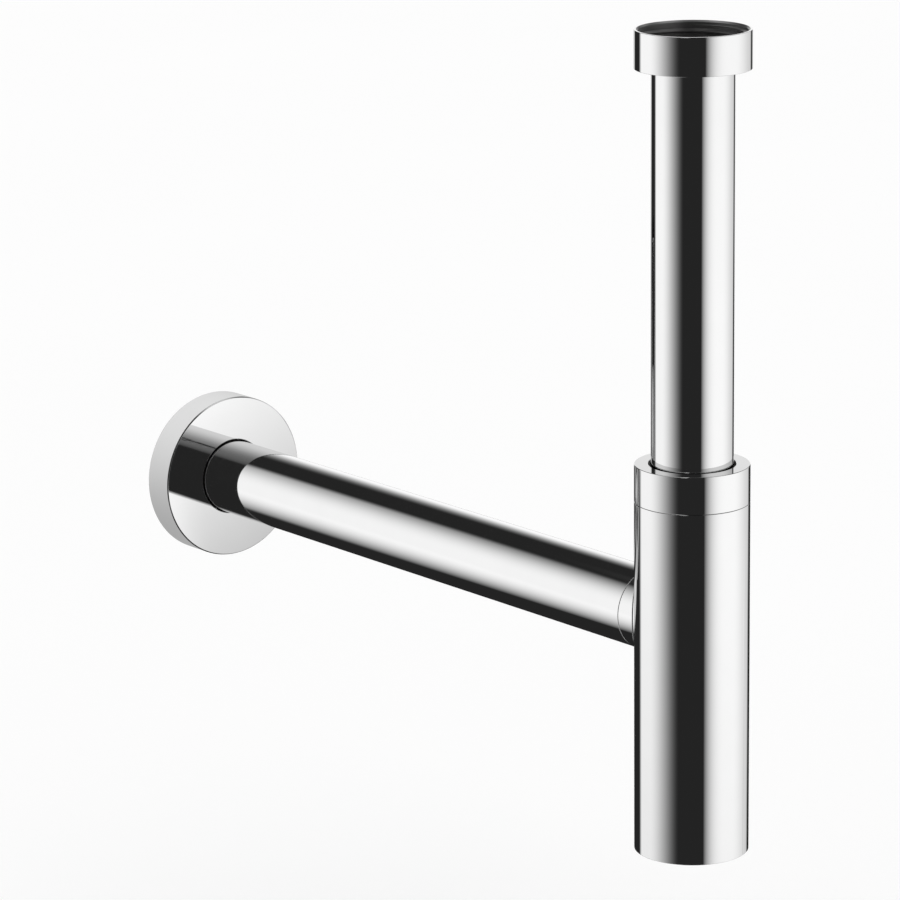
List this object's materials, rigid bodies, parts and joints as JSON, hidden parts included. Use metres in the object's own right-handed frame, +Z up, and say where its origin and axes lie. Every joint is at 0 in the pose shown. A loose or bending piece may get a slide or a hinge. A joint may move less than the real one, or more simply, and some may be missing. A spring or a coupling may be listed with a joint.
{
  "type": "waste trap",
  "caption": "Cylindrical bottle trap for a washbasin, with union nut, height-adjustable inlet tube, side outlet tube and deep round wall flange.",
  "frame": {"origin": "on the inlet axis, at the top of the union washer where the basin waste seals", "axes": "+Z up the inlet tube, +Y along the outlet towards the wall"},
  "size_m": [0.071, 0.3559, 0.325],
  "materials": {
    "chrome": "polished chrome plate on brass",
    "nylon": "smooth moulded black nylon",
    "rubber": "matt moulded rubber"
  },
  "bodies": {
    "inlet": {"inlet_tube": "chrome", "union_washer": "rubber"},
    "union_ring": {"union_slip_ring": "nylon"},
    "union_nut": {"union_nut": "chrome"},
    "seal": {"inlet_wedge_seal": "rubber"},
    "trap": {"trap_body": "chrome", "outlet_stub": "chrome"},
    "cap_ring": {"cap_slip_ring": "nylon"},
    "cap_nut": {"cap_nut": "chrome"},
    "outlet_rings": {"outlet_ring_inner": "rubber", "outlet_ring_outer": "rubber"},
    "outlet_tube": {"outlet_tube": "chrome"},
    "flange_ring": {"flange_grip_ring": "rubber"},
    "wall_flange": {"wall_flange": "chrome"}
  },
  "joints": [
    {"name": "union_nut_slide", "type": "slide", "parent": "inlet", "child": "union_ring", "axis": [0, 0, 1], "range_m": [-0.118, 0]},
    {"name": "union_nut_turn", "type": "hinge", "parent": "union_ring", "child": "union_nut", "pos_m": [0, 0, 0], "axis": [0, 0, 1], "continuous": true},
    {"name": "height_slide", "type": "slide", "parent": "inlet", "child": "seal", "axis": [0, 0, 1], "range_m": [-0.11, 0.0235]},
    {"name": "trap_swivel", "type": "hinge", "parent": "seal", "child": "trap", "pos_m": [0, 0, -0.1714], "axis": [0, 0, 1], "continuous": true},
    {"name": "cap_nut_rise", "type": "slide", "parent": "trap", "child": "cap_ring", "axis": [0, 0, 1], "range_m": [0, 0.0093]},
    {"name": "cap_nut_turn", "type": "hinge", "parent": "cap_ring", "child": "cap_nut", "pos_m": [0, 0, -0.1689], "axis": [0, 0, 1], "range_deg": [0, 1440]},
    {"name": "outlet_turn", "type": "hinge", "parent": "trap", "child": "outlet_rings", "pos_m": [0, 0.0365, -0.2254], "axis": [0, 1, 0], "continuous": true},
    {"name": "outlet_pull", "type": "slide", "parent": "outlet_rings", "child": "outlet_tube", "axis": [0, 1, 0], "range_m": [0, 0.012]},
    {"name": "flange_slide", "type": "slide", "parent": "outlet_tube", "child": "flange_ring", "axis": [0, 1, 0], "range_m": [-0.265, 0.012]},
    {"name": "flange_turn", "type": "hinge", "parent": "flange_ring", "child": "wall_flange", "pos_m": [0, 0.3094, -0.2254], "axis": [0, 1, 0], "continuous": true}
  ],
  "couplings": [
    {"joint": "cap_nut_rise", "follows": "cap_nut_turn", "m_per_rad": 0.00036749}
  ]
}
